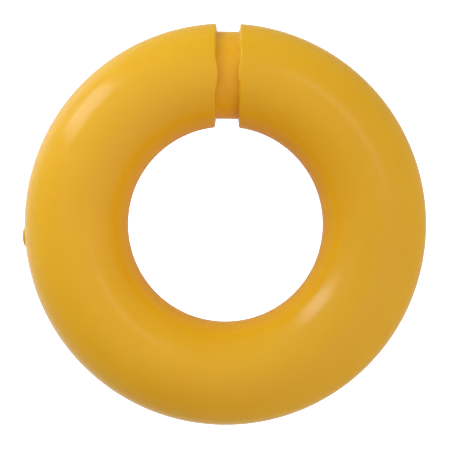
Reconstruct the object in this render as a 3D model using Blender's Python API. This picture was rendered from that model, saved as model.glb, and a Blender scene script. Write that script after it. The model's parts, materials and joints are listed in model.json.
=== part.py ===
"""Ring buoy: a round-section moulded ring with one line groove, filled with foam through a screwed plug.

Metres. The ring lies flat: its axis is Z, its rear crown rests on z = 0 and its front faces +Z.
The line groove is at +Y, and the filler plug is just past a quarter turn from it, near -X.
"""

import math

import bmesh
import bpy
from mathutils import Vector

MM = 0.001

# Driving dimensions
RING_DIAMETER = 508 * MM  # a 20 inch ring
TUBE_DIAMETER = 130.6 * MM
WALL = 4 * MM
GROOVE_DEPTH = 10.2 * MM
GROOVE_FLOOR_WIDTH = 28 * MM
GROOVE_DRAFT = math.radians(11)
LIP_INNER_FACE = 19 * MM  # from the groove's middle to the inner face of each end lip
SWELL_HEIGHT = 3 * MM  # the groove's walls swell inwards at the front and rear crowns, to hold the line in
SWELL_HALF_LENGTH = 20 * MM
SWELL_HALF_DEPTH = 6.9 * MM
SWELL_BELOW_RIM = 2.3 * MM
SWELL_OFFSET = -5 * MM  # from the middle of the tube, outwards
SLEEVE_WALL = 5.1 * MM
GASKET_THICKNESS = 2 * MM
SLEEVE_FLANGE_RADIUS = 59 * MM
SLEEVE_FLANGE_THICKNESS = 4 * MM
PLUG_ANGLE = math.radians(184.4)  # from +X, anticlockwise seen from the front
THREAD_PITCH = 2.5 * MM
TONGUE_THICKNESS = 1.2 * MM
TONGUE_HEIGHT = 2.5 * MM
FIT_GAP = 0.3 * MM

# Sizes that follow from them
TUBE_RADIUS = TUBE_DIAMETER / 2
RING_RADIUS = RING_DIAMETER / 2 - TUBE_RADIUS
CAVITY_RADIUS = TUBE_RADIUS - WALL
NECK_RADIUS = TUBE_RADIUS - GROOVE_DEPTH
SLEEVE_BORE = NECK_RADIUS - SLEEVE_WALL
FLANGE_INNER_FACE = LIP_INNER_FACE + GASKET_THICKNESS + 2 * FIT_GAP
FLANGE_OUTER_FACE = FLANGE_INNER_FACE + SLEEVE_FLANGE_THICKNESS
SEAM_RADIUS = TUBE_RADIUS - WALL / 2  # where the tongue stands, from the tube's centre

# Filler, as distances outwards from the tube's centre and radii about the plug's axis
BUSH_INNER_END = 52.5 * MM
BUSH_COLLAR_TOP = 56.7 * MM
PAD_INNER_FACE = BUSH_COLLAR_TOP + FIT_GAP
PAD_OUTER_FACE = 62 * MM  # inside the wall, which it thickens
POCKET_FLOOR = 63.4 * MM
BUSH_FLANGE_UNDERSIDE = POCKET_FLOOR + FIT_GAP
BUSH_FACE = 66 * MM
SEAL_SEAT = 64.4 * MM
SHANK_END = 56.3 * MM
PAD_RADIUS = 17 * MM
BUSH_FLANGE_RADIUS = 12.5 * MM
BUSH_BODY_RADIUS = 10 * MM
SEAL_SEAT_RADIUS = 9.6 * MM
SEAL_RING_RADIUS = 8.3 * MM
SEAL_CORD_RADIUS = 0.85 * MM
HEAD_RADIUS = 10 * MM
HEAD_EDGE = 0.6 * MM  # the head's thickness at its edge
HEAD_THICKNESS = 2.2 * MM  # and in the middle of its dome
SHANK_RADIUS = 6 * MM
THREAD_HEIGHT = 1 * MM
THREAD_ROOT_WIDTH = 1.3 * MM
THREAD_CREST_WIDTH = 0.6 * MM
THREAD_CLEARANCE = 0.35 * MM  # radial, between the plug's thread and the bush's
SLOT_LENGTH = 14 * MM
SLOT_WIDTH = 2 * MM
SLOT_DEPTH = 1.3 * MM

# Facets
RING_STEPS = 48
TUBE_STEPS = 24
FOAM_TUBE_STEPS = 16
NECK_STEPS = 48
PLUG_STEPS = 32
DOME_STEPS = 4
SEAL_STEPS = 24
CORD_STEPS = 8

WELD = 1e-7  # vertices this close are one
FAR = 20 * MM  # how far a cutter runs past what it cuts

YELLOW = (0.72, 0.40, 0.025, 1)
DEEP_YELLOW = (0.66, 0.34, 0.020, 1)
FOAM_CREAM = (0.85, 0.76, 0.52, 1)
RUBBER_BLACK = (0.02, 0.02, 0.02, 1)


def clear_scene():
    for obj in list(bpy.data.objects):
        bpy.data.objects.remove(obj, do_unlink=True)


def material(name, colour, roughness):
    made = bpy.data.materials.new(name)
    made.use_nodes = True
    shader = made.node_tree.nodes["Principled BSDF"]
    shader.inputs["Base Color"].default_value = colour
    shader.inputs["Roughness"].default_value = roughness
    shader.inputs["Metallic"].default_value = 0
    return made


def frame_empty(name, location, rotation):
    """An empty that other objects are placed by."""
    empty = bpy.data.objects.new(name, None)
    empty.location = location
    empty.rotation_euler = rotation
    bpy.context.scene.collection.objects.link(empty)
    return empty


def add_object(name, bm, parent=None, finish=None):
    bmesh.ops.remove_doubles(bm, verts=bm.verts, dist=WELD)
    bmesh.ops.recalc_face_normals(bm, faces=bm.faces)
    mesh = bpy.data.meshes.new(name)
    bm.to_mesh(mesh)
    bm.free()
    mesh.shade_smooth()
    mesh.set_sharp_from_angle(angle=math.radians(40))
    obj = bpy.data.objects.new(name, mesh)
    bpy.context.scene.collection.objects.link(obj)
    obj.parent = parent
    if finish:
        mesh.materials.append(finish)
    else:
        obj.hide_render = True
        obj.display_type = "WIRE"
    return obj


def boolean(obj, tool, operation="DIFFERENCE"):
    modifier = obj.modifiers.new(f"{operation.lower()}_{tool.name}", "BOOLEAN")
    modifier.object = tool
    modifier.operation = operation


def turned(profile, steps):
    """A bmesh of the closed outline (radius, height) turned about Z. An outline may start and end on the axis."""
    bm = bmesh.new()
    points = [bm.verts.new((radius, 0, height)) for radius, height in profile]
    closed = all(radius > 0 for radius, _ in profile)
    pairs = list(zip(points, points[1:] + points[:1] if closed else points[1:]))
    edges = [bm.edges.new(pair) for pair in pairs]
    bmesh.ops.spin(
        bm, geom=points + edges, axis=(0, 0, 1), cent=(0, 0, 0), angle=math.tau, steps=steps, use_merge=True
    )
    return bm


def tube_section(radius, steps):
    """A circle round the tube's centre as flats that touch it, with flats at both crowns and both equators."""
    corner = radius / math.cos(math.pi / steps)
    turns = [math.tau * (step + 0.5) / steps for step in range(steps)]
    return [(RING_RADIUS + corner * math.cos(a), TUBE_RADIUS + corner * math.sin(a)) for a in turns]


def block(low, high):
    bm = bmesh.new()
    bmesh.ops.create_cube(bm, size=1)
    low, high = Vector(low), Vector(high)
    bmesh.ops.scale(bm, vec=high - low, verts=bm.verts)
    bmesh.ops.translate(bm, vec=(low + high) / 2, verts=bm.verts)
    return bm


def thread(inner_radius, outer_radius, root_width, crest_width, start, end):
    """A helical ridge about Z, right-handed, from height start to end, with a tapered section."""
    bm = bmesh.new()
    count = math.ceil(PLUG_STEPS * (end - start) / THREAD_PITCH)
    section = (
        (inner_radius, -root_width / 2),
        (outer_radius, -crest_width / 2),
        (outer_radius, crest_width / 2),
        (inner_radius, root_width / 2),
    )
    rows = []
    for step in range(count + 1):
        turn = math.tau * step / PLUG_STEPS
        rise = start + THREAD_PITCH * step / PLUG_STEPS
        rows.append([
            bm.verts.new((radius * math.cos(turn), radius * math.sin(turn), rise + height))
            for radius, height in section
        ])
    for row, above in zip(rows, rows[1:]):
        for side in range(len(section)):
            ahead = (side + 1) % len(section)
            bm.faces.new((row[side], row[ahead], above[ahead], above[side]))
    bm.faces.new(rows[0])
    bm.faces.new(rows[-1])
    return bm


# Cutters and shapes that both shells share


def cavity_tool():
    """The space inside the shells, which stops at a flat lip on each side of the groove."""
    cavity = add_object("cavity", turned(tube_section(CAVITY_RADIUS, TUBE_STEPS), RING_STEPS))
    lips = add_object("lip_block", block(
        (-LIP_INNER_FACE, 0, -FAR), (LIP_INNER_FACE, RING_DIAMETER, TUBE_DIAMETER + FAR)
    ))
    boolean(cavity, lips)
    return cavity


def groove_tool(groove_frame):
    """The line groove, with its drafted walls and their swells, and the hole for the neck sleeve."""
    hole = NECK_RADIUS + FIT_GAP
    rim = TUBE_RADIUS + FAR
    foot_half = GROOVE_FLOOR_WIDTH / 2 + FIT_GAP * math.tan(GROOVE_DRAFT)
    rim_half = GROOVE_FLOOR_WIDTH / 2 + (rim - NECK_RADIUS) * math.tan(GROOVE_DRAFT)
    profile = [
        (0, -FLANGE_OUTER_FACE), (hole, -FLANGE_OUTER_FACE), (hole, -foot_half), (rim, -rim_half),
        (rim, rim_half), (hole, foot_half), (hole, FLANGE_OUTER_FACE), (0, FLANGE_OUTER_FACE),
    ]
    groove = add_object("groove_cutter", turned(profile, NECK_STEPS), groove_frame)
    level = TUBE_RADIUS - SWELL_BELOW_RIM
    wall_offset = GROOVE_FLOOR_WIDTH / 2 + (level - NECK_RADIUS) * math.tan(GROOVE_DRAFT)
    for side, hand in ((-1, "left"), (1, "right")):
        for crown, face in ((-1, "rear"), (1, "front")):
            bm = bmesh.new()
            bmesh.ops.create_uvsphere(bm, u_segments=16, v_segments=8, radius=1)
            bmesh.ops.scale(bm, vec=(SWELL_HEIGHT, SWELL_HALF_LENGTH, SWELL_HALF_DEPTH), verts=bm.verts)
            place = (side * wall_offset, RING_RADIUS + SWELL_OFFSET, TUBE_RADIUS + crown * level)
            bmesh.ops.translate(bm, vec=place, verts=bm.verts)
            boolean(groove, add_object(f"swell_{face}_{hand}", bm))
    return groove


def seam_tool(name, side, thickness, top):
    """A thin upright band round the whole ring in the middle of the wall. side is 1 outside, -1 at the hole."""
    middle = RING_RADIUS + side * SEAM_RADIUS
    low, high = TUBE_RADIUS - TONGUE_HEIGHT, TUBE_RADIUS + top
    near, far = middle - thickness / 2, middle + thickness / 2
    return add_object(name, turned([(near, low), (far, low), (far, high), (near, high)], RING_STEPS))


def pad_tool(filler_frame):
    """The round thickening of the wall, inside, that holds the filler bush."""
    profile = [(0, PAD_INNER_FACE), (PAD_RADIUS, PAD_INNER_FACE), (PAD_RADIUS, PAD_OUTER_FACE), (0, PAD_OUTER_FACE)]
    return add_object("filler_pad", turned(profile, PLUG_STEPS), filler_frame)


def port_tool(filler_frame):
    """The hole through the wall for the filler bush, and the pocket for its flange."""
    hole = BUSH_BODY_RADIUS + FIT_GAP
    pocket = BUSH_FLANGE_RADIUS + FIT_GAP
    outside = BUSH_FACE + FAR
    profile = [
        (0, BUSH_INNER_END), (hole, BUSH_INNER_END), (hole, POCKET_FLOOR),
        (pocket, POCKET_FLOOR), (pocket, outside), (0, outside),
    ]
    return add_object("filler_port", turned(profile, PLUG_STEPS), filler_frame)


# Pieces


def shells(groove_frame, filler_frame, finish):
    """The front and rear halves of the skin. The rear one has a tongue on both edges, and the front one a slot for it."""
    cavity = cavity_tool()
    groove = groove_tool(groove_frame)
    pad = pad_tool(filler_frame)
    port = port_tool(filler_frame)
    reach = RING_DIAMETER / 2 + FAR
    seam_half = FIT_GAP / 2
    below = add_object("below_seam", block((-reach, -reach, -FAR), (reach, reach, TUBE_RADIUS + seam_half)))
    above = add_object("above_seam", block(
        (-reach, -reach, TUBE_RADIUS - seam_half), (reach, reach, TUBE_DIAMETER + FAR)
    ))
    sides = {"outer": 1, "inner": -1}
    for name, waste in (("front_shell", below), ("rear_shell", above)):
        shell = add_object(name, turned(tube_section(TUBE_RADIUS, TUBE_STEPS), RING_STEPS), finish=finish)
        boolean(shell, cavity)
        boolean(shell, pad, "UNION")
        boolean(shell, waste)
        for edge, side in sides.items():
            if name == "rear_shell":
                tongue = seam_tool(f"tongue_{edge}", side, TONGUE_THICKNESS, TONGUE_HEIGHT)
                boolean(shell, tongue, "UNION")
            else:
                slot_width = TONGUE_THICKNESS + 2 * FIT_GAP
                slot = seam_tool(f"slot_{edge}", side, slot_width, TONGUE_HEIGHT + FIT_GAP)
                boolean(shell, slot)
        boolean(shell, groove)
        boolean(shell, port)


def neck_sleeve(groove_frame, finish):
    """The hollow spool whose middle is the groove's floor. Its flanges sit inside the shells' lips."""
    profile = [
        (SLEEVE_BORE, -FLANGE_OUTER_FACE), (SLEEVE_FLANGE_RADIUS, -FLANGE_OUTER_FACE),
        (SLEEVE_FLANGE_RADIUS, -FLANGE_INNER_FACE), (NECK_RADIUS, -FLANGE_INNER_FACE),
        (NECK_RADIUS, FLANGE_INNER_FACE), (SLEEVE_FLANGE_RADIUS, FLANGE_INNER_FACE),
        (SLEEVE_FLANGE_RADIUS, FLANGE_OUTER_FACE), (SLEEVE_BORE, FLANGE_OUTER_FACE),
    ]
    add_object("neck_sleeve", turned(profile, NECK_STEPS), groove_frame, finish)


def neck_gaskets(groove_frame, finish):
    """The flat rings between each lip and the sleeve's flange."""
    inside = NECK_RADIUS + 1.5 * FIT_GAP
    near, far = LIP_INNER_FACE + FIT_GAP, FLANGE_INNER_FACE - FIT_GAP
    for hand, side in (("left", -1), ("right", 1)):
        low, high = sorted((side * near, side * far))
        profile = [
            (inside, low), (SLEEVE_FLANGE_RADIUS, low), (SLEEVE_FLANGE_RADIUS, high), (inside, high),
        ]
        add_object(f"neck_gasket_{hand}", turned(profile, NECK_STEPS), groove_frame, finish)


def foam_core(groove_frame, filler_frame, finish):
    """One closed ring of foam that fills the shells and runs through the sleeve."""
    skin_radius = (CAVITY_RADIUS - FIT_GAP) * math.cos(math.pi / FOAM_TUBE_STEPS)
    foam = add_object("foam_core", turned(tube_section(skin_radius, FOAM_TUBE_STEPS), RING_STEPS), finish=finish)
    end = FLANGE_OUTER_FACE + FIT_GAP
    gap = add_object("foam_gap", block((-end, 0, -FAR), (end, RING_DIAMETER, TUBE_DIAMETER + FAR)))
    boolean(foam, gap)
    stem_radius = SLEEVE_BORE - FIT_GAP
    stem_end = end + 6 * MM
    stem_profile = [(0, -stem_end), (stem_radius, -stem_end), (stem_radius, stem_end), (0, stem_end)]
    boolean(foam, add_object("foam_stem", turned(stem_profile, NECK_STEPS), groove_frame), "UNION")
    collar_room = BUSH_FLANGE_RADIUS + FIT_GAP
    pad_room = PAD_RADIUS + FIT_GAP
    outside = BUSH_FACE + FAR
    room_profile = [
        (0, BUSH_INNER_END - FIT_GAP), (collar_room, BUSH_INNER_END - FIT_GAP),
        (collar_room, PAD_INNER_FACE - FIT_GAP), (pad_room, PAD_INNER_FACE - FIT_GAP),
        (pad_room, outside), (0, outside),
    ]
    boolean(foam, add_object("foam_filler_room", turned(room_profile, PLUG_STEPS), filler_frame))


def filler_bush(filler_frame, finish):
    """The threaded bush that the two shells hold between them."""
    bore = SHANK_RADIUS + THREAD_CLEARANCE
    profile = [
        (bore, BUSH_INNER_END), (BUSH_FLANGE_RADIUS, BUSH_INNER_END), (BUSH_FLANGE_RADIUS, BUSH_COLLAR_TOP),
        (BUSH_BODY_RADIUS, BUSH_COLLAR_TOP), (BUSH_BODY_RADIUS, BUSH_FLANGE_UNDERSIDE),
        (BUSH_FLANGE_RADIUS, BUSH_FLANGE_UNDERSIDE), (BUSH_FLANGE_RADIUS, BUSH_FACE),
        (SEAL_SEAT_RADIUS, BUSH_FACE), (SEAL_SEAT_RADIUS, SEAL_SEAT), (bore, SEAL_SEAT),
    ]
    bush = add_object("filler_bush", turned(profile, PLUG_STEPS), filler_frame, finish)
    thread_radius = SHANK_RADIUS + THREAD_HEIGHT + THREAD_CLEARANCE
    # Whole pitches below the plug's own thread, so that the two are in mesh.
    start = thread_start() - 3 * THREAD_PITCH
    cutter = thread(
        SHANK_RADIUS, thread_radius,
        THREAD_ROOT_WIDTH + 2 * FIT_GAP, THREAD_CREST_WIDTH + 2 * FIT_GAP,
        start, BUSH_FACE + THREAD_PITCH,
    )
    boolean(bush, add_object("bush_thread", cutter, filler_frame))


def thread_start():
    """Where the plug's thread begins, from the tube's centre."""
    return SHANK_END + THREAD_PITCH / 2


def filler_plug(filler_frame, finish):
    """The plug: a low domed head with a coin slot, and a threaded shank."""
    underside = SEAL_SEAT + 2 * SEAL_CORD_RADIUS + 1.5 * FIT_GAP
    top = underside + HEAD_THICKNESS
    profile = [(0, SHANK_END), (SHANK_RADIUS, SHANK_END), (SHANK_RADIUS, underside), (HEAD_RADIUS, underside)]
    for step in range(DOME_STEPS):
        share = 1 - step / DOME_STEPS
        rise = (HEAD_THICKNESS - HEAD_EDGE) * (1 - share * share)
        profile.append((HEAD_RADIUS * share, underside + HEAD_EDGE + rise))
    profile.append((0, top))
    plug = add_object("filler_plug", turned(profile, PLUG_STEPS), filler_frame, finish)
    ridge_root = SHANK_RADIUS - THREAD_HEIGHT / 2
    ridge = thread(
        ridge_root, SHANK_RADIUS + THREAD_HEIGHT, THREAD_ROOT_WIDTH, THREAD_CREST_WIDTH,
        thread_start(), SEAL_SEAT - THREAD_PITCH / 2,
    )
    boolean(plug, add_object("plug_thread", ridge, filler_frame), "UNION")
    half_length, half_width = SLOT_LENGTH / 2, SLOT_WIDTH / 2
    slot = block((-half_length, -half_width, top - SLOT_DEPTH), (half_length, half_width, top + FAR))
    boolean(plug, add_object("coin_slot", slot, filler_frame))


def filler_plug_seal(filler_frame, finish):
    """The O-ring under the plug's head."""
    height = SEAL_SEAT + SEAL_CORD_RADIUS + FIT_GAP / 2
    turns = [math.tau * step / CORD_STEPS for step in range(CORD_STEPS)]
    profile = [
        (SEAL_RING_RADIUS + SEAL_CORD_RADIUS * math.cos(a), height + SEAL_CORD_RADIUS * math.sin(a))
        for a in turns
    ]
    add_object("filler_plug_seal", turned(profile, SEAL_STEPS), filler_frame, finish)


def main():
    clear_scene()
    skin = material("shell_plastic", YELLOW, 0.42)
    neck = material("neck_plastic", DEEP_YELLOW, 0.45)
    filler = material("filler_plastic", YELLOW, 0.4)
    foam = material("foam", FOAM_CREAM, 0.9)
    rubber = material("seal_rubber", RUBBER_BLACK, 0.7)
    quarter = math.pi / 2
    groove_frame = frame_empty("groove_frame", (0, RING_RADIUS, TUBE_RADIUS), (0, quarter, 0))
    plug_centre = (RING_RADIUS * math.cos(PLUG_ANGLE), RING_RADIUS * math.sin(PLUG_ANGLE), TUBE_RADIUS)
    filler_frame = frame_empty("filler_frame", plug_centre, (0, quarter, PLUG_ANGLE))
    shells(groove_frame, filler_frame, skin)
    neck_sleeve(groove_frame, neck)
    neck_gaskets(groove_frame, rubber)
    foam_core(groove_frame, filler_frame, foam)
    filler_bush(filler_frame, filler)
    filler_plug(filler_frame, filler)
    filler_plug_seal(filler_frame, rubber)


main()
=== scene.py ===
"""Looks of the ring buoy: fine skins, neck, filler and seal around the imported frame, under soft studio light.

Metres, in the frame's own axes: the ring lies on z = 0 with its front up and its line groove at +Y.
"""

import json
import math

import bmesh
import bpy
import numpy as np
from mathutils import Matrix, Vector


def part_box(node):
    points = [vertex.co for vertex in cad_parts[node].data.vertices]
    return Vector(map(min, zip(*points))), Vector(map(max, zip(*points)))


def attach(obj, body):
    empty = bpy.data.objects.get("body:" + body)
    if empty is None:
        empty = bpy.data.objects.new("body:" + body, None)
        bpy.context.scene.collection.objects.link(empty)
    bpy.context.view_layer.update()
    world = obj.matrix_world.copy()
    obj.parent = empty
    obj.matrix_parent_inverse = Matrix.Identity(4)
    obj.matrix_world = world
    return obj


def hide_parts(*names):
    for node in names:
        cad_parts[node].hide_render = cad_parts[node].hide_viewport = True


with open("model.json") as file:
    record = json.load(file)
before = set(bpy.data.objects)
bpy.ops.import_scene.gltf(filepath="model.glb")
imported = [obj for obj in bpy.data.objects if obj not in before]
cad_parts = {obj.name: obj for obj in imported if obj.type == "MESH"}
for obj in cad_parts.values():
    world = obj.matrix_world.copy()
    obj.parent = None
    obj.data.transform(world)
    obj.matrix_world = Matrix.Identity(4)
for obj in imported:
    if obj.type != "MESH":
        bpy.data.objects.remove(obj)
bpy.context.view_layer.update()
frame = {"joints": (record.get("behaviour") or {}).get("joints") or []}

MM = 0.001

# The ring, read from the frame
FRONT_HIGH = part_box("front_shell")[1]
REAR_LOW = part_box("rear_shell")[0]
TUBE_RADIUS = (FRONT_HIGH[2] - REAR_LOW[2]) / 2
RING_RADIUS = FRONT_HIGH[0] - TUBE_RADIUS
HOLE_RADIUS = RING_RADIUS - TUBE_RADIUS
SEAM_HEIGHT = REAR_LOW[2] + TUBE_RADIUS
FIT_GAP = 0.3 * MM

# The shells' wall, the line groove and its lips
WALL = 4 * MM
CAVITY_RADIUS = TUBE_RADIUS - WALL
GROOVE_DEPTH = 10.2 * MM
NECK_RADIUS = TUBE_RADIUS - GROOVE_DEPTH
LIP_HOLE_RADIUS = NECK_RADIUS + FIT_GAP
GROOVE_FLOOR_HALVES = {-1: 13.1 * MM, 1: 14 * MM}  # by side: -1 is -X
GROOVE_DRAFT = math.radians(11)
LIP_INNER_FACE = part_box("neck_gasket_right")[0][0] - FIT_GAP
RIM_ROUND = 1.3 * MM  # at the ring's outline
RIM_ROUND_CROWN = 3 * MM  # and at its crowns
LIP_HOLE_ROUND = 0.5 * MM
# The rims' swells into the groove, by side: height, half length, offset outwards from the tube's middle
SWELLS = {-1: (3.8 * MM, 28 * MM, -7 * MM), 1: (2.2 * MM, 19 * MM, -3 * MM)}
WALL_ROWS = (0.2, 0.4, 0.6, 0.8)  # heights of the wall's points, as shares of it
LIP_ROWS = (0.0, 0.3, 0.7, 1.0)  # shares across its rounding at the lip's hole
RIM_ROWS = 9  # points over the rounded rim

# The joint between the shells
SEAM_HALF_GAP = 0.15 * MM
SEAM_EDGE_DROP = 0.5 * MM
SEAM_EDGE_REACH = 0.7 * MM
TONGUE_START = 0.35  # across the wall, from the outside
TONGUE_END = 0.65
TONGUE_HEIGHT = 2.5 * MM
SEAM_HEIGHTS = (SEAM_HALF_GAP, 0.25 * MM, 0.4 * MM, SEAM_EDGE_REACH)  # the points next to a seam

# The filler, as distances outwards from the tube's centre and radii about the plug's axis
PLUG_TURN = next(joint for joint in frame["joints"] if joint["name"] == "plug_turn")
PLUG_CENTRE = Vector(PLUG_TURN["pos_m"])
PLUG_AXIS = Vector(PLUG_TURN["axis"]).normalized()
THREAD_PITCH = 2.5 * MM
BUSH_INNER_END = 52.5 * MM
BUSH_COLLAR_TOP = 56.7 * MM
BUSH_FLANGE_UNDERSIDE = 63.7 * MM
BUSH_FACE = 66 * MM
BUSH_FLANGE_RADIUS = 12.5 * MM
BUSH_BODY_RADIUS = 10 * MM
POCKET_FLOOR = BUSH_FLANGE_UNDERSIDE - FIT_GAP
PAD_RADIUS = 17 * MM
PAD_INNER_FACE = BUSH_COLLAR_TOP + FIT_GAP
PAD_EDGE = 1 * MM  # half the width over which the wall rises to the pad
BUSH_EDGE = 0.4 * MM
BUSH_RIM_EDGE = 0.8 * MM
SEAL_SEAT = 64.4 * MM
SEAL_SEAT_RADIUS = 9.6 * MM
SEAL_RING_RADIUS = 8.3 * MM
SEAL_CORD_RADIUS = 0.85 * MM
HEAD_UNDERSIDE = 66.3 * MM
HEAD_TOP = 68.75 * MM
HEAD_RADIUS = 10 * MM
HEAD_EDGE = 0.85 * MM
HEAD_ROUND = 0.25 * MM  # under the head's rim, and twice that over it
DOME_EDGE = 0.94  # where the head's dome begins, as a share of its radius
DOME_ROWS = 16
SHANK_END = 56.3 * MM
SHANK_RADIUS = 6 * MM
SHANK_END_ROUND = 0.8 * MM
SHANK_NECK_ROUND = 0.3 * MM
THREAD_HEIGHT = 1 * MM
THREAD_CLEARANCE = 0.35 * MM
THREAD_ROOT_WIDTH = 1.3 * MM
THREAD_CREST_WIDTH = 0.6 * MM
THREAD_START = SHANK_END + THREAD_PITCH / 2
THREAD_END = SEAL_SEAT - THREAD_PITCH / 2
BUSH_THREAD_START = THREAD_START - 3 * THREAD_PITCH
BUSH_THREAD_END = BUSH_FACE + THREAD_PITCH
TOOL_OVERRUN = 1 * MM  # how far the port's tool reaches inwards past the bush
TOOL_REACH = 20 * MM  # how far a cutting tool stands out of what it cuts
SLOT_LENGTH = 14 * MM
SLOT_WIDTH = 2 * MM
SLOT_DEPTH = 1.3 * MM
SLOT_END_STEPS = 12

# The neck
NECK_WALL = 5.1 * MM
FLARE_ROUND = 1.6 * MM  # where it turns up into the groove's walls
FLARE_GAP = 0.05 * MM  # between that fillet and the wall
FLARE_ROWS = 9

# Mesh steps
RING_STATIONS = 120  # along half the ring
GROOVE_PARTS = (0.0, 0.0025, 0.006, 0.011, 0.017, 0.024)  # stations by the groove, as shares of the half
PORT_REACH = 0.055  # how far to each side of the filler port they are close together
PORT_SPACING = 0.0025
TUBE_STATIONS = 56  # round half the tube
TURNED_STEPS = 96
CORNER_STEPS = 6
SEAL_STEPS = 24
SHARP_ANGLE = math.radians(35)

# The camera
CAMERA_LENS = 100  # mm
CAMERA_DISTANCE = 1.585
CAMERA_ROLL = math.radians(0.7)
CAMERA_X = -0.5 * MM
CAMERA_Y = -1.1 * MM

# The floor, and the patch of it that differs, where shade and bounce light are painted: its middle's distance
# from the ring's axis, its half width, and how far from its middle it has faded out
FLOOR_HEIGHT = -0.5 * MM
FLOOR_STEPS = 12
FLOOR_MOTTLE = 0.015  # how far its grey wanders, as a share
FLOOR_MOTTLE_SCALE = 6
# Where the camera's floor has a painted contact shadow, round under the tube
PAINTED_SHADOW_UNDER_TUBE = (RING_RADIUS, 0.3 * TUBE_RADIUS, 0.85 * TUBE_RADIUS)
# The ring's hole, where the bounce floor glows orange as painted bounce light
PAINTED_LIGHT_AND_SHADE_IN_HOLE = (0, 0.8 * HOLE_RADIUS, 1.2 * HOLE_RADIUS)
FLOORS = (  # name, rays that meet it, half width, grey, glow, patch of painted light and shade, its grey, its glow
    # Seen by the camera: under the tube a darker grey with a dim glow, a painted contact shadow
    ("floor", "camera", 40, 0.91, (0.72, 0.72, 0.82), PAINTED_SHADOW_UNDER_TUBE, 0.45, (0.08, 0.07, 0.06)),
    # Met by diffuse rays: in the hole an orange glow, painted bounce light from the ring
    ("floor_bounce", "diffuse", 40, 0.91, (0.52, 0.58, 0.60), PAINTED_LIGHT_AND_SHADE_IN_HOLE, 0.91, (0.47, 0.23, 0.02)),
    # Met by glossy rays: a dark sheet under the hole, painted shade that the ring's inner side reflects
    ("floor_mirror", "glossy", 0.13, 0.10, (0.24, 0.21, 0.22), PAINTED_LIGHT_AND_SHADE_IN_HOLE, 0.10, (0.24, 0.21, 0.22)),
)

# The light
NEUTRAL = (1.0, 1.0, 1.0)
COOL = (0.86, 1.0, 1.06)
WARM = (1.0, 0.95, 0.90)
SKY_BASE = (0.216, 0.244, 0.262)
UNDER_SKY = 0.4  # the share of SKY_BASE that shines from below
UNDER_SKY_TOP = 0.1  # heights, as a direction's Z, between which that share comes in
UNDER_SKY_BOTTOM = -0.7
SKY_LOBES = (  # azimuth, elevation, sharpness, strength, colour
    (140, 38, 3, 0.52, COOL),
    (320, 42, 3, 0.72, WARM),
    (5, 42, 3, 0.37, WARM),
    (235, 42, 3, -0.18, (0.95, 1.5, 0.1)),
    (0, 90, 3, 0.20, NEUTRAL),
    (190, -42, 3, 0.55, NEUTRAL),
    (143, -28, 16, 1.05, (0.7, 0.9, 1.0)),
    (0, -90, 2, 0.50, NEUTRAL),
)
LIGHTS = (  # name, azimuth, elevation, distance, width, height, power, colour, shape, seen in gloss
    ("window", 140.5, 21, 2.2, 0.68, 1.35, 16, COOL, "RECTANGLE", True),
    ("lamp", 43, 61, 2.2, 1.0, 0.35, 1.95, NEUTRAL, "RECTANGLE", True),
    ("fill", 145, 58, 0.7, 0.5, 0.5, 0.75, WARM, "DISK", False),
)

# Finishes: linear colours, roughness, and noise scales in features to a metre
SKIN_BASE = (0.785, 0.408, 0.010, 1)
SKIN_LIGHT = (0.801, 0.424, 0.012, 1)
SKIN_DARK = (0.769, 0.392, 0.008, 1)
# The filler's colours are paler than the skin's so its small head reads pale where it sits in shade: painted
# light
FILLER_BASE_WITH_PAINTED_LIGHT = (0.83, 0.46, 0.025, 1)
FILLER_LIGHT_WITH_PAINTED_LIGHT = (0.85, 0.48, 0.030, 1)
FILLER_DARK_WITH_PAINTED_LIGHT = (0.81, 0.44, 0.020, 1)
# The neck's colours: the skin's plastic lightened in red to offset the groove's shade, a painted fill light
NECK_BASE_WITH_PAINTED_FILL = (0.815, 0.408, 0.008, 1)
NECK_LIGHT_WITH_PAINTED_FILL = (0.831, 0.424, 0.010, 1)
NECK_DARK_WITH_PAINTED_FILL = (0.799, 0.392, 0.006, 1)
SKIN_ROUGHNESS = 0.22
NECK_ROUGHNESS = 0.26
ROUGHNESS_BELOW = 0.03  # how much smoother the plastic is where it is least rubbed
ROUGHNESS_ABOVE = 0.05  # and rougher where it is most
PLASTIC_IOR = 1.5
PLASTIC_SPECULAR = 0.28
SHINE_THROUGH = 3 * MM  # how far red light spreads inside the plastic
SHINE_SHARE = 0.3
SHINE_SPREAD = (1.0, 0.45, 0.08)  # by channel, as shares of SHINE_THROUGH
CLOUD_SCALE = 9
WAVE_SCALE = 14
RUB_SCALE = 38
SPECKLE_SCALE = 260
PEEL_SCALE = 420
WAVE_DEPTH = 4 * MM
WAVE_STRENGTH = 0.12
PEEL_DEPTH = 0.4 * MM
PEEL_STRENGTH = 0.10
FILLER_PEEL = 0.7  # the small pieces' share of the shells' peel
BLOOM_SCALE = 150
GRAIN_SCALE = 900
GRAIN_DEPTH = 0.2 * MM
RUBBER_BLACK = (0.012, 0.012, 0.013, 1)
RUBBER_BLOOM = (0.035, 0.034, 0.033, 1)
CELL_SCALE = 420
CELL_DEPTH = 0.8 * MM
FOAM_CLOUD_SCALE = 20
FOAM_DARK = (0.74, 0.62, 0.36, 1)
FOAM_LIGHT = (0.86, 0.77, 0.52, 1)
FOAM_CELL_PAINTED_SHADE = (0.62, 0.50, 0.28, 1)
MIX_A, MIX_B, MIX_RESULT = 6, 7, 2  # the Mix node's sockets for colours, which share names with its others


# Meshes


def face_grid(rows, columns, wrap_columns=False):
    """Quads over a grid of points numbered row by row."""
    last_column = columns if wrap_columns else columns - 1
    faces = []
    for row in range(rows - 1):
        here, there = row * columns, (row + 1) * columns
        for column in range(last_column):
            beside = (column + 1) % columns
            faces.append((here + column, here + beside, there + beside, there + column))
    return faces


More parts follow.
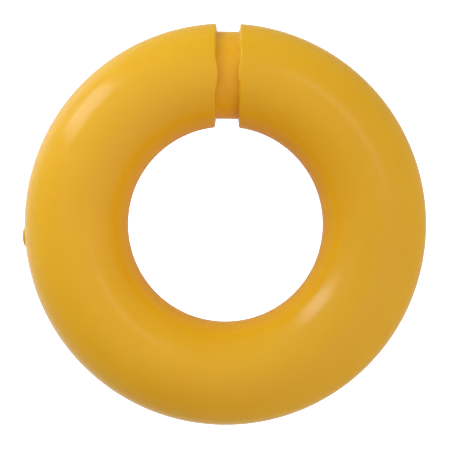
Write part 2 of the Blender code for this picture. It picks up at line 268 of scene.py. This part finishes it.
def mesh_object(name, points, faces):
    """A mesh with its faces pointing out, shaded smooth except at its sharp edges."""
    mesh = bpy.data.meshes.new(name)
    mesh.from_pydata([tuple(point) for point in points], [], faces)
    bm = bmesh.new()
    bm.from_mesh(mesh)
    bmesh.ops.recalc_face_normals(bm, faces=bm.faces)
    bm.to_mesh(mesh)
    bm.free()
    mesh.shade_smooth()
    mesh.set_sharp_from_angle(angle=SHARP_ANGLE)
    obj = bpy.data.objects.new(name, mesh)
    bpy.context.scene.collection.objects.link(obj)
    return obj


def smooth_step(value):
    value = np.clip(value, 0, 1)
    return value * value * (3 - 2 * value)


def rounded(corners):
    """A closed outline of (radius, height) points, from corners (radius, height, rounding)."""
    outline = []
    count = len(corners)
    for index, (x, y, rounding) in enumerate(corners):
        corner = np.array((x, y))
        if rounding <= 0:
            outline.append(corner)
            continue
        before = np.array(corners[index - 1][:2]) - corner
        after = np.array(corners[(index + 1) % count][:2]) - corner
        before, after = before / np.linalg.norm(before), after / np.linalg.norm(after)
        half_angle = math.acos(np.clip(before @ after, -1, 1)) / 2
        reach = rounding / math.tan(half_angle)
        centre = corner + (before + after) / np.linalg.norm(before + after) * rounding / math.sin(half_angle)
        start, end = corner + before * reach - centre, corner + after * reach - centre
        sweep = math.pi - 2 * half_angle
        for step in range(CORNER_STEPS + 1):
            part = step / CORNER_STEPS
            arc = (start * math.sin((1 - part) * sweep) + end * math.sin(part * sweep)) / math.sin(sweep)
            outline.append(centre + arc)
    return outline


def axis_frame(centre, axis):
    """The placing of a turned piece: its own Z along axis, from centre."""
    turn = axis.to_track_quat("Z", "Y").to_matrix().to_4x4()
    return Matrix.Translation(centre) @ turn


def turned_object(name, outline, placing, steps=TURNED_STEPS):
    """A closed outline of (radius, height) points, turned about the placing's Z and joined up on the axis."""
    points, faces, columns = [], [], []
    for radius, height in outline:
        if radius == 0:
            columns.append([len(points)] * steps)
            points.append((0, 0, height))
            continue
        first = len(points)
        columns.append(list(range(first, first + steps)))
        for step in range(steps):
            turn = math.tau * step / steps
            points.append((radius * math.cos(turn), radius * math.sin(turn), height))
    for here, there in zip(columns, columns[1:] + columns[:1]):
        for step in range(steps):
            ahead = (step + 1) % steps
            corners = (here[step], here[ahead], there[ahead], there[step])
            face = tuple(dict.fromkeys(corners))
            if len(face) > 2:
                faces.append(face)
    obj = mesh_object(name, points, faces)
    obj.data.transform(placing)
    return obj


def cut(obj, tool, operation="DIFFERENCE"):
    """Applies a Boolean with tool, which is then removed."""
    modifier = obj.modifiers.new("cut", "BOOLEAN")
    modifier.object = tool
    modifier.operation = operation
    depsgraph = bpy.context.evaluated_depsgraph_get()
    result = bpy.data.meshes.new_from_object(obj.evaluated_get(depsgraph))
    obj.modifiers.clear()
    name = obj.data.name
    old = obj.data
    obj.data = result
    bpy.data.meshes.remove(old)
    obj.data.name = name
    bpy.data.objects.remove(tool)
    obj.data.shade_smooth()
    obj.data.set_sharp_from_angle(angle=SHARP_ANGLE)


# Shells


def swell(tube_angle, hand):
    """How far the rim stands into the groove, round the tube: most near the crown, to hold the line in."""
    height, half_length, offset = SWELLS[hand]
    across = (TUBE_RADIUS * np.cos(tube_angle) - offset) / half_length
    return height * np.clip(1 - across * across, 0, None) ** 2


def wall_x(height, tube_angle, hand):
    """The groove wall's distance from the groove's middle at that height over the tube's centre."""
    drafted = GROOVE_FLOOR_HALVES[hand] + (height - NECK_RADIUS) * math.tan(GROOVE_DRAFT)
    share = smooth_step((height - LIP_HOLE_RADIUS) / (TUBE_RADIUS - RIM_ROUND_CROWN - LIP_HOLE_RADIUS))
    return drafted - swell(tube_angle, hand) * share


def rim_round(tube_angle):
    """How far the groove's rim is rounded over, round the tube."""
    return RIM_ROUND + (RIM_ROUND_CROWN - RIM_ROUND) * np.sin(tube_angle) ** 2


def groove_side(tube_angle, hand):
    """The lip and the groove's wall as (x, height) points, from the lip's inner face out to the skin."""
    corner = wall_x(LIP_HOLE_RADIUS, tube_angle, hand)
    points = [
        (LIP_INNER_FACE + 0 * tube_angle, LIP_HOLE_RADIUS),
        ((LIP_INNER_FACE + corner) / 2, LIP_HOLE_RADIUS),
    ]
    for part in LIP_ROWS:
        rise = LIP_HOLE_ROUND * (1 - math.sqrt(1 - part * part))
        points.append((corner + LIP_HOLE_ROUND * (1 - part), LIP_HOLE_RADIUS + rise))
    rounding = rim_round(tube_angle)
    top = TUBE_RADIUS - rounding
    for part in WALL_ROWS:
        height = LIP_HOLE_RADIUS + LIP_HOLE_ROUND + part * (top - LIP_HOLE_RADIUS - LIP_HOLE_ROUND)
        points.append((wall_x(height, tube_angle, hand), height))
    below, rim = wall_x(top, tube_angle, hand), wall_x(TUBE_RADIUS, tube_angle, hand)
    for part in np.linspace(0, 1, RIM_ROWS):
        x = (1 - part) ** 2 * below + 2 * part * (1 - part) * rim + part * part * (rim + rounding)
        height = TUBE_RADIUS - rounding * (1 - part) ** 2
        points.append((x, height))
    return points


def station_parts(dense_at):
    """The stations along the half ring, 0 at the groove and 1 opposite it, closer together at dense_at."""
    parts = [*GROOVE_PARTS, *np.linspace(GROOVE_PARTS[-1], 1, RING_STATIONS)[1:]]
    if dense_at is not None:
        close = np.arange(dense_at - PORT_REACH, dense_at + PORT_REACH, PORT_SPACING)
        parts = [part for part in parts if abs(part - dense_at) > PORT_REACH + PORT_SPACING / 2] + list(close)
    return sorted(parts)


def place(x, height, full_height, tube_angle):
    """Points of a cut across the tube at x: bent like the ring at full_height, straight at the lip's hole."""
    bend = np.clip((height - LIP_HOLE_RADIUS) / (full_height - LIP_HOLE_RADIUS), 0, 1)
    reach = RING_RADIUS + height * np.cos(tube_angle)
    return np.stack([x, np.sqrt(reach ** 2 - bend * x ** 2), height * np.sin(tube_angle)], axis=-1)


def bent(part, start_x, height, tube_angle):
    """Points of the skin at a share of the way round the half ring, from the flat cut at start_x."""
    reach = RING_RADIUS + height * np.cos(tube_angle)
    start = np.arcsin(start_x / reach)
    turn = start + (math.pi - start) * part
    return np.stack([reach * np.sin(turn), reach * np.cos(turn), height * np.sin(tube_angle)], axis=-1)


def side_paths(tube_angle, hand, dense_at):
    """The outside and the inside of one half ring, a row of points per station. Hand 1 is the +X side."""
    seam_near = np.minimum(np.sin(tube_angle) * TUBE_RADIUS, SEAM_EDGE_REACH)
    drop = SEAM_EDGE_DROP * (1 - seam_near / SEAM_EDGE_REACH) ** 2
    outside, inside = [], []
    side = groove_side(tube_angle, hand)
    lip_top = LIP_HOLE_RADIUS + LIP_HOLE_ROUND
    for index, (x, height) in enumerate(side):
        lowered = height - drop * (height - LIP_HOLE_RADIUS) / (TUBE_RADIUS - LIP_HOLE_RADIUS)
        outside.append(place(x, lowered, TUBE_RADIUS, tube_angle))
        part = index / (len(side) - 1)
        inner_height = lip_top + part * (CAVITY_RADIUS - lip_top)
        inside.append(place(LIP_INNER_FACE + 0 * tube_angle, inner_height, CAVITY_RADIUS, tube_angle))
    for part in station_parts(dense_at)[1:]:
        outside.append(bent(part, side[-1][0], TUBE_RADIUS - drop, tube_angle))
        inner = bent(part, LIP_INNER_FACE + 0 * tube_angle, CAVITY_RADIUS, tube_angle)
        if dense_at is not None:
            inner = thickened(inner)
        inside.append(inner)
    outside, inside = np.array(outside), np.array(inside)
    for path in (outside, inside):
        path[..., 0] *= hand
    return outside, inside


def thickened(points):
    """Inner skin points, still on the +X side, with those near the filler moved to its round pad's face."""
    axis = np.array((-PLUG_AXIS[0], PLUG_AXIS[1], 0))
    centre = axis * RING_RADIUS
    local = points - centre
    out = local @ axis
    away = np.linalg.norm(local - out[..., None] * axis, axis=-1)
    on_pad = smooth_step((PAD_RADIUS + PAD_EDGE - away) / (2 * PAD_EDGE)) * (out > 0)
    target = np.minimum(out, PAD_INNER_FACE)
    return points + ((target - out) * on_pad)[..., None] * axis


def tube_angles():
    """The angles round half the tube, from the outer equator to the hole's, closer together at the seams."""
    near = [math.asin(height / TUBE_RADIUS) for height in SEAM_HEIGHTS]
    even = list(np.linspace(near[-1], math.pi - near[-1], TUBE_STATIONS)[1:-1])
    return np.array(near + even + [math.pi - angle for angle in reversed(near)])


def shell_half(name, face):
    """One half of the skin, front (face 1) or rear (face -1), as a closed mesh with no filler port yet."""
    angles = tube_angles()
    plug_turn = math.acos(-PLUG_AXIS[1])
    groove_turn = math.asin(LIP_INNER_FACE / (RING_RADIUS + TUBE_RADIUS))
    dense_at = (math.pi - plug_turn - groove_turn) / (math.pi - groove_turn)
    right_out, right_in = side_paths(angles, 1, None)
    left_out, left_in = side_paths(angles, -1, dense_at)
    outside = np.concatenate((right_out, left_out[-2::-1]))
    inside = np.concatenate((right_in, left_in[-2::-1]))
    points = np.concatenate((outside, inside[::-1]))
    points[:, (0, -1), 2] = SEAM_HALF_GAP
    columns, rows = points.shape[:2]
    grid = np.swapaxes(points, 0, 1).reshape(-1, 3)
    faces = face_grid(rows, columns, wrap_columns=True)
    vertices = list(grid)
    wall_columns = len(groove_side(0, 1))
    for row in (0, rows - 1):
        faces += seam_faces(vertices, row * columns, len(outside), wall_columns, face)
    placed = np.array(vertices)
    placed[:, 2] = SEAM_HEIGHT + face * placed[:, 2]
    return mesh_object(name, placed, faces)


def seam_faces(vertices, first, count, wall_columns, face):
    """The faces that close a half ring at one seam. Its tongue's or slot's points are added to vertices."""
    outer = list(range(first, first + count))
    inner = list(range(first + 2 * count - 1, first + count - 1, -1))
    clearance = 0 if face < 0 else FIT_GAP / WALL
    height = -TONGUE_HEIGHT if face < 0 else TONGUE_HEIGHT + FIT_GAP
    parts = (TONGUE_START - clearance, TONGUE_END + clearance)
    faces = []
    steps = []
    for column in range(wall_columns - 1, count - wall_columns + 1):
        steps.append((column, len(vertices)))
        for part in parts:
            base = vertices[outer[column]] * (1 - part) + vertices[inner[column]] * part
            raised = base.copy()
            raised[2] = height
            vertices += [base, raised]
    for column in range(wall_columns - 1):
        faces.append((outer[column], outer[column + 1], inner[column + 1], inner[column]))
        last = count - 1 - column
        faces.append((outer[last], outer[last - 1], inner[last - 1], inner[last]))
    for (column, here), (_, there) in zip(steps, steps[1:]):
        line = (outer[column], here, here + 1, here + 3, here + 2, inner[column])
        line_there = (outer[column + 1], there, there + 1, there + 3, there + 2, inner[column + 1])
        for index in range(len(line) - 1):
            faces.append((line[index], line[index + 1], line_there[index + 1], line_there[index]))
    for position, other in ((0, wall_columns - 2), (-1, count - wall_columns + 1)):
        column, start = steps[position]
        faces.append((start, start + 1, start + 3, start + 2))
        around = {outer[column], outer[other], inner[other], inner[column]}
        plain = next(index for index, corners in enumerate(faces) if set(corners) == around)
        faces[plain] = (outer[other], outer[column], start, start + 2, inner[column], inner[other])
    return faces


def port_tool():
    """The hole through the wall for the filler bush, with the pocket for its flange."""
    hole = BUSH_BODY_RADIUS + FIT_GAP
    pocket = BUSH_FLANGE_RADIUS + FIT_GAP
    start, end = BUSH_INNER_END - TOOL_OVERRUN, BUSH_FACE + TOOL_REACH
    outline = [
        (0, start), (hole, start), (hole, POCKET_FLOOR), (pocket, POCKET_FLOOR), (pocket, end), (0, end),
    ]
    return turned_object("port_tool", outline, axis_frame(PLUG_CENTRE, PLUG_AXIS))


def shells(skin):
    for node, face in (("front_shell", 1), ("rear_shell", -1)):
        piece = shell_half(f"{node}_skin", face)
        cut(piece, port_tool())
        finish(piece, skin, "ring", node)


# Neck, filler and seal


def neck_spool(plastic):
    """The groove's floor, a hollow spool with its flanges in the lips and a fillet up each groove wall."""
    flange_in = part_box("neck_gasket_right")[1][0] + FIT_GAP
    flange_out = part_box("neck_sleeve")[1][0]
    flange_radius = (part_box("neck_sleeve")[1][2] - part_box("neck_sleeve")[0][2]) / 2
    bore = NECK_RADIUS - NECK_WALL
    sides = {}
    for hand in (1, -1):
        end = GROOVE_FLOOR_HALVES[hand]
        sides[hand] = [
            (bore, flange_out), (flange_radius, flange_out), (flange_radius, flange_in),
            (NECK_RADIUS, flange_in), (NECK_RADIUS, end),
        ]
        centre = end - FLARE_GAP - FLARE_ROUND * (1 - math.sin(GROOVE_DRAFT)) / math.cos(GROOVE_DRAFT)
        for turn in np.linspace(GROOVE_DRAFT, math.pi / 2, FLARE_ROWS):
            radius = NECK_RADIUS + FLARE_ROUND * (1 - math.sin(turn))
            sides[hand].append((radius, centre + FLARE_ROUND * math.cos(turn)))
    outline = sides[1] + [(radius, -x) for radius, x in reversed(sides[-1])]
    placing = axis_frame(Vector((0, RING_RADIUS, SEAM_HEIGHT)), Vector((1, 0, 0)))
    piece = turned_object("neck_spool", outline, placing, 2 * TURNED_STEPS)
    finish(piece, plastic, "ring", "neck_sleeve")


def helix(inner, outer, root_width, crest_width, start, end, placing, name):
    """A right-handed helical ridge about the placing's Z, its section tapered from root to crest."""
    steps_per_turn = TURNED_STEPS // 2
    count = math.ceil(steps_per_turn * (end - start) / THREAD_PITCH)
    root, crest = root_width / 2, crest_width / 2
    section = ((inner, -root), (outer, -crest), (outer, crest), (inner, root))
    points = []
    for step in range(count + 1):
        turn = math.tau * step / steps_per_turn
        rise = start + THREAD_PITCH * step / steps_per_turn
        points += [(radius * math.cos(turn), radius * math.sin(turn), rise + up) for radius, up in section]
    faces = face_grid(count + 1, len(section), wrap_columns=True)
    faces += [tuple(range(len(section))), tuple(range(count * len(section), (count + 1) * len(section)))]
    obj = mesh_object(name, points, faces)
    obj.data.transform(placing)
    return obj


def filler_bush(plastic):
    """The threaded bush that the two shells hold between them, with the seal's seat sunk in its face."""
    placing = axis_frame(PLUG_CENTRE, PLUG_AXIS)
    bore = SHANK_RADIUS + THREAD_CLEARANCE
    outline = rounded([
        (bore, BUSH_INNER_END, BUSH_EDGE), (BUSH_FLANGE_RADIUS, BUSH_INNER_END, BUSH_EDGE),
        (BUSH_FLANGE_RADIUS, BUSH_COLLAR_TOP, BUSH_EDGE),
        (BUSH_BODY_RADIUS, BUSH_COLLAR_TOP, 0), (BUSH_BODY_RADIUS, BUSH_FLANGE_UNDERSIDE, 0),
        (BUSH_FLANGE_RADIUS, BUSH_FLANGE_UNDERSIDE, BUSH_EDGE / 2),
        (BUSH_FLANGE_RADIUS, BUSH_FACE, BUSH_RIM_EDGE), (SEAL_SEAT_RADIUS, BUSH_FACE, BUSH_EDGE),
        (SEAL_SEAT_RADIUS, SEAL_SEAT, BUSH_EDGE / 2), (bore, SEAL_SEAT, BUSH_EDGE),
    ])
    piece = turned_object("filler_bush_fine", outline, placing)
    thread = helix(
        SHANK_RADIUS, SHANK_RADIUS + THREAD_HEIGHT + THREAD_CLEARANCE,
        THREAD_ROOT_WIDTH + 2 * FIT_GAP, THREAD_CREST_WIDTH + 2 * FIT_GAP,
        BUSH_THREAD_START, BUSH_THREAD_END, placing, "bush_thread_tool",
    )
    cut(piece, thread)
    finish(piece, plastic, "ring", "filler_bush")


def filler_plug(plastic):
    """The plug, its low head with a coin slot whose ends are round, and its threaded shank."""
    placing = axis_frame(PLUG_CENTRE, PLUG_AXIS)
    corners = [
        (0, SHANK_END, 0), (SHANK_RADIUS, SHANK_END, SHANK_END_ROUND),
        (SHANK_RADIUS, HEAD_UNDERSIDE, SHANK_NECK_ROUND),
        (HEAD_RADIUS, HEAD_UNDERSIDE, HEAD_ROUND),
        (HEAD_RADIUS, HEAD_UNDERSIDE + HEAD_EDGE, 2 * HEAD_ROUND),
    ]
    dome = HEAD_TOP - HEAD_UNDERSIDE - HEAD_EDGE
    for share in np.linspace(DOME_EDGE, 0, DOME_ROWS):
        corners.append((HEAD_RADIUS * share, HEAD_TOP - dome * share * share, 0))
    piece = turned_object("filler_plug_fine", rounded(corners), placing)
    thread = helix(
        SHANK_RADIUS - THREAD_HEIGHT / 2, SHANK_RADIUS + THREAD_HEIGHT, THREAD_ROOT_WIDTH, THREAD_CREST_WIDTH,
        THREAD_START, THREAD_END, placing, "plug_thread_tool",
    )
    cut(piece, thread, "UNION")
    cut(piece, slot_tool(placing))
    finish(piece, plastic, "plug", "filler_plug")


def slot_tool(placing):
    """An upright prism with round ends, for the coin slot."""
    half = SLOT_LENGTH / 2 - SLOT_WIDTH / 2
    outline = []
    for end, start_turn in ((1, -90), (-1, 90)):
        for step in range(SLOT_END_STEPS + 1):
            turn = math.radians(start_turn + step * 180 / SLOT_END_STEPS)
            outline.append((end * half + SLOT_WIDTH / 2 * math.cos(turn), SLOT_WIDTH / 2 * math.sin(turn)))
    count = len(outline)
    bottom, top = HEAD_TOP - SLOT_DEPTH, HEAD_TOP + TOOL_REACH
    points = [(x, y, bottom) for x, y in outline] + [(x, y, top) for x, y in outline]
    faces = [(i, (i + 1) % count, (i + 1) % count + count, i + count) for i in range(count)]
    faces += [tuple(range(count)), tuple(range(2 * count - 1, count - 1, -1))]
    obj = mesh_object("coin_slot_tool", points, faces)
    obj.data.transform(placing)
    return obj


def plug_seal(rubber):
    """The O-ring under the plug's head."""
    height = SEAL_SEAT + SEAL_CORD_RADIUS + FIT_GAP / 2
    outline = []
    for step in range(SEAL_STEPS):
        turn = math.tau * step / SEAL_STEPS
        outline.append((
            SEAL_RING_RADIUS + SEAL_CORD_RADIUS * math.cos(turn), height + SEAL_CORD_RADIUS * math.sin(turn)
        ))
    piece = turned_object("plug_o_ring", outline, axis_frame(PLUG_CENTRE, PLUG_AXIS))
    finish(piece, rubber, "seal", "filler_plug_seal")


def finish(piece, material, body, node):
    """Gives a piece its material and its body, and hides its CAD node in the frame."""
    piece.data.materials.clear()
    piece.data.materials.append(material)
    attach(piece, body)
    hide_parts(node)


# Materials


def new_material(name):
    material = bpy.data.materials.new(name)
    material.use_nodes = True
    nodes = material.node_tree.nodes
    return material, nodes, material.node_tree.links, nodes["Principled BSDF"]


def noise(nodes, links, coordinates, scale, detail, roughness=0.5):
    """A noise texture over the object's own metres."""
    texture = nodes.new("ShaderNodeTexNoise")
    texture.inputs["Scale"].default_value = scale
    texture.inputs["Detail"].default_value = detail
    texture.inputs["Roughness"].default_value = roughness
    links.new(coordinates, texture.inputs["Vector"])
    return texture.outputs["Fac"]


def remap(nodes, links, value, low, high, to_low, to_high):
    node = nodes.new("ShaderNodeMapRange")
    node.clamp = True
    for socket, amount in zip(("From Min", "From Max", "To Min", "To Max"), (low, high, to_low, to_high)):
        node.inputs[socket].default_value = amount
    links.new(value, node.inputs["Value"])
    return node.outputs["Result"]


def mixed(nodes, links, share, colour_a, colour_b):
    """A colour between two, each a constant or a socket."""
    node = nodes.new("ShaderNodeMix")
    node.data_type = "RGBA"
    links.new(share, node.inputs["Factor"])
    for socket, colour in ((node.inputs[MIX_A], colour_a), (node.inputs[MIX_B], colour_b)):
        if isinstance(colour, tuple):
            socket.default_value = colour
        else:
            links.new(colour, socket)
    return node.outputs[MIX_RESULT]


def clouds(nodes, links, coordinates, scale, detail=2):
    """A noise stretched to run from 0 to 1."""
    return remap(nodes, links, noise(nodes, links, coordinates, scale, detail), 0.3, 0.7, 0, 1)


def calculated(nodes, links, kind, operation, value, other=None):
    """The result of a Math or VectorMath node on a socket and, where it takes two, a constant."""
    node = nodes.new(kind)
    node.operation = operation
    links.new(value, node.inputs[0])
    if other is not None:
        node.inputs[1].default_value = other
    scalar = kind == "ShaderNodeMath" or operation in ("LENGTH", "DOT_PRODUCT")
    return node.outputs["Value" if scalar else "Vector"]


def scaled(nodes, links, colour, share):
    """A constant colour times a socket."""
    node = nodes.new("ShaderNodeVectorMath")
    node.operation = "SCALE"
    node.inputs[0].default_value = colour
    links.new(share, node.inputs["Scale"])
    return node.outputs["Vector"]


def bump(nodes, links, height, distance, strength, below=None):
    node = nodes.new("ShaderNodeBump")
    node.inputs["Distance"].default_value = distance
    node.inputs["Strength"].default_value = strength
    links.new(height, node.inputs["Height"])
    if below is not None:
        links.new(below, node.inputs["Normal"])
    return node.outputs["Normal"]


def moulded_plastic(name, base, light, dark, roughness, peel=1.0):
    """Coloured polyethylene: half gloss, with cloudy colour, a faint moulding texture and fine rub marks."""
    material, nodes, links, shader = new_material(name)
    coordinates = nodes.new("ShaderNodeTexCoord").outputs["Object"]
    cloudy = mixed(nodes, links, clouds(nodes, links, coordinates, CLOUD_SCALE), dark, light)
    speckle = noise(nodes, links, coordinates, SPECKLE_SCALE, 3, 0.6)
    share = remap(nodes, links, speckle, 0.35, 0.75, 0.25, 0.6)
    links.new(mixed(nodes, links, share, cloudy, base), shader.inputs["Base Color"])
    rub = noise(nodes, links, coordinates, RUB_SCALE, 5, 0.65)
    rubbed = remap(nodes, links, rub, 0.35, 0.7, roughness - ROUGHNESS_BELOW, roughness + ROUGHNESS_ABOVE)
    links.new(rubbed, shader.inputs["Roughness"])
    shader.inputs["IOR"].default_value = PLASTIC_IOR
    shader.inputs["Specular IOR Level"].default_value = PLASTIC_SPECULAR
    shader.inputs["Subsurface Weight"].default_value = SHINE_SHARE
    shader.inputs["Subsurface Radius"].default_value = SHINE_SPREAD
    shader.inputs["Subsurface Scale"].default_value = SHINE_THROUGH
    waves = noise(nodes, links, coordinates, WAVE_SCALE, 2)
    waved = bump(nodes, links, waves, WAVE_DEPTH, WAVE_STRENGTH)
    pores = noise(nodes, links, coordinates, PEEL_SCALE, 2)
    links.new(bump(nodes, links, pores, PEEL_DEPTH, PEEL_STRENGTH * peel, waved), shader.inputs["Normal"])
    return material


def seal_rubber():
    """Black rubber with a dusty bloom."""
    material, nodes, links, shader = new_material("seal_rubber")
    coordinates = nodes.new("ShaderNodeTexCoord").outputs["Object"]
    bloom = remap(nodes, links, noise(nodes, links, coordinates, BLOOM_SCALE, 4, 0.6), 0.4, 0.7, 0, 1)
    links.new(mixed(nodes, links, bloom, RUBBER_BLACK, RUBBER_BLOOM), shader.inputs["Base Color"])
    links.new(remap(nodes, links, bloom, 0, 1, 0.5, 0.75), shader.inputs["Roughness"])
    grain = noise(nodes, links, coordinates, GRAIN_SCALE, 2)
    links.new(bump(nodes, links, grain, GRAIN_DEPTH, 0.2), shader.inputs["Normal"])
    return material


def core_foam():
    """Rigid cream foam with its small open cells at the surface, their pits painted darker as shade."""
    material, nodes, links, shader = new_material("core_foam")
    coordinates = nodes.new("ShaderNodeTexCoord").outputs["Object"]
    cells = nodes.new("ShaderNodeTexVoronoi")
    cells.inputs["Scale"].default_value = CELL_SCALE
    links.new(coordinates, cells.inputs["Vector"])
    hollow = remap(nodes, links, cells.outputs["Distance"], 0.1, 0.6, 0, 1)
    cream = mixed(nodes, links, clouds(nodes, links, coordinates, FOAM_CLOUD_SCALE, 3), FOAM_DARK, FOAM_LIGHT)
    # The cells' pits take a darker colour: painted shade in the hollows
    links.new(mixed(nodes, links, hollow, FOAM_CELL_PAINTED_SHADE, cream), shader.inputs["Base Color"])
    links.new(remap(nodes, links, hollow, 0, 1, 0.95, 0.8), shader.inputs["Roughness"])
    links.new(bump(nodes, links, hollow, CELL_DEPTH, 0.5), shader.inputs["Normal"])
    return material


def give_material(node, material):
    """A kept CAD node's new finish."""
    obj = bpy.data.objects[node]
    for slot in obj.material_slots:
        slot.material = material


# Studio


def grey_colour(level):
    return level, level, level, 1


def outside_painted_patch(nodes, links, coordinates, painted_patch):
    """How far a place on the floor is outside the patch where light and shade are painted: 0 in it, 1 where it
    has faded out.
    """
    middle, half_width, fade_end = painted_patch
    away = calculated(nodes, links, "ShaderNodeVectorMath", "LENGTH", coordinates)
    apart = calculated(nodes, links, "ShaderNodeMath", "SUBTRACT", away, middle)
    distance = calculated(nodes, links, "ShaderNodeMath", "ABSOLUTE", apart)
    return remap(nodes, links, distance, half_width, fade_end, 0, 1)


def floor(name, rays, reach, grey, glow, painted_patch, painted_patch_grey, painted_patch_glow):
    """A floor that only some rays meet."""
    rows = np.linspace(-reach, reach, FLOOR_STEPS + 1)
    points = [(x, y, FLOOR_HEIGHT) for y in rows for x in rows]
    obj = mesh_object(name, points, face_grid(len(rows), len(rows)))
    material, nodes, links, shader = new_material(f"{name}_painted_light_and_shade")
    coordinates = nodes.new("ShaderNodeTexCoord").outputs["Object"]
    dark, light = grey_colour(grey * (1 - FLOOR_MOTTLE)), grey_colour(grey * (1 + FLOOR_MOTTLE))
    paint = mixed(nodes, links, clouds(nodes, links, coordinates, FLOOR_MOTTLE_SCALE), dark, light)
    # The patch's own grey and glow are painted light and shade: a contact shadow, a bounce glow, a dark sheet
    outside = outside_painted_patch(nodes, links, coordinates, painted_patch)
    links.new(mixed(nodes, links, outside, grey_colour(painted_patch_grey), paint), shader.inputs["Base Color"])
    links.new(mixed(nodes, links, outside, (*painted_patch_glow, 1), (*glow, 1)), shader.inputs["Emission Color"])
    shader.inputs["Emission Strength"].default_value = 1
    shader.inputs["Roughness"].default_value = 0.9
    shader.inputs["Specular IOR Level"].default_value = 0.1
    obj.data.materials.append(material)
    obj.visible_camera = rays == "camera"
    obj.visible_diffuse = rays == "diffuse"
    obj.visible_shadow = rays == "diffuse"
    obj.visible_glossy = rays == "glossy"


def towards(azimuth, elevation):
    """A unit direction from degrees: azimuth anticlockwise from +X, elevation above the floor."""
    turn, rise = math.radians(azimuth), math.radians(elevation)
    return Vector((math.cos(rise) * math.cos(turn), math.cos(rise) * math.sin(turn), math.sin(rise)))


def area_light(name, azimuth, elevation, distance, width, height, power, colour, shape, in_gloss):
    """A soft light of width by height, aimed at the ring."""
    light = bpy.data.lights.new(name, "AREA")
    light.shape = shape
    light.size = width
    light.size_y = height
    light.energy = power
    light.color = colour
    obj = bpy.data.objects.new(name, light)
    direction = towards(azimuth, elevation)
    obj.location = Vector((0, 0, SEAM_HEIGHT)) + direction * distance
    obj.rotation_euler = (-direction).to_track_quat("-Z", "Y").to_euler()
    obj.visible_camera = False
    obj.visible_glossy = in_gloss
    bpy.context.scene.collection.objects.link(obj)


def sky(base, lobes):
    """A surrounding light, fainter from below, with smooth lobes added, or taken off where negative."""
    world = bpy.data.worlds.new("studio")
    world.use_nodes = True
    nodes, links = world.node_tree.nodes, world.node_tree.links
    direction = nodes.new("ShaderNodeTexCoord").outputs["Generated"]
    apart = nodes.new("ShaderNodeSeparateXYZ")
    links.new(direction, apart.inputs[0])
    share = remap(nodes, links, apart.outputs["Z"], UNDER_SKY_BOTTOM, UNDER_SKY_TOP, UNDER_SKY, 1)
    total = scaled(nodes, links, base, share)
    for azimuth, elevation, sharpness, strength, colour in lobes:
        middle = towards(azimuth, elevation)
        facing = calculated(nodes, links, "ShaderNodeVectorMath", "DOT_PRODUCT", direction, middle)
        front = calculated(nodes, links, "ShaderNodeMath", "MAXIMUM", facing, 0)
        lobe = calculated(nodes, links, "ShaderNodeMath", "POWER", front, sharpness)
        tinted = scaled(nodes, links, [strength * channel for channel in colour], lobe)
        added = nodes.new("ShaderNodeVectorMath")
        added.operation = "ADD"
        links.new(total, added.inputs[0])
        links.new(tinted, added.inputs[1])
        total = added.outputs["Vector"]
    links.new(total, nodes["Background"].inputs["Color"])
    bpy.context.scene.world = world


def studio():
    sky(SKY_BASE, SKY_LOBES)
    for settings in LIGHTS:
        area_light(*settings)


def camera():
    """Straight above the ring, with the groove at the top and leaning a little to the right."""
    data = bpy.data.cameras.new("camera")
    data.lens = CAMERA_LENS
    obj = bpy.data.objects.new("camera", data)
    obj.location = (CAMERA_X, CAMERA_Y, SEAM_HEIGHT + CAMERA_DISTANCE)
    obj.rotation_euler = (0, 0, CAMERA_ROLL)
    bpy.context.scene.collection.objects.link(obj)
    bpy.context.scene.camera = obj


def main():
    bpy.context.scene.view_settings.view_transform = "Standard"
    skin = moulded_plastic("yellow_skin", SKIN_BASE, SKIN_LIGHT, SKIN_DARK, SKIN_ROUGHNESS)
    # The neck's finish is lightened against the groove's shade: painted fill light
    neck = moulded_plastic("yellow_neck_painted_fill", NECK_BASE_WITH_PAINTED_FILL, NECK_LIGHT_WITH_PAINTED_FILL, NECK_DARK_WITH_PAINTED_FILL, NECK_ROUGHNESS)
    # The filler's finish is paled against its shade: painted light
    filler = moulded_plastic(
        "yellow_filler_painted_light", FILLER_BASE_WITH_PAINTED_LIGHT, FILLER_LIGHT_WITH_PAINTED_LIGHT, FILLER_DARK_WITH_PAINTED_LIGHT, SKIN_ROUGHNESS, FILLER_PEEL
    )
    rubber = seal_rubber()
    shells(skin)
    neck_spool(neck)
    filler_bush(filler)
    filler_plug(filler)
    plug_seal(rubber)
    give_material("foam_core", core_foam())
    for node in ("neck_gasket_left", "neck_gasket_right"):
        give_material(node, rubber)
    for settings in FLOORS:
        floor(*settings)
    studio()
    camera()


main()
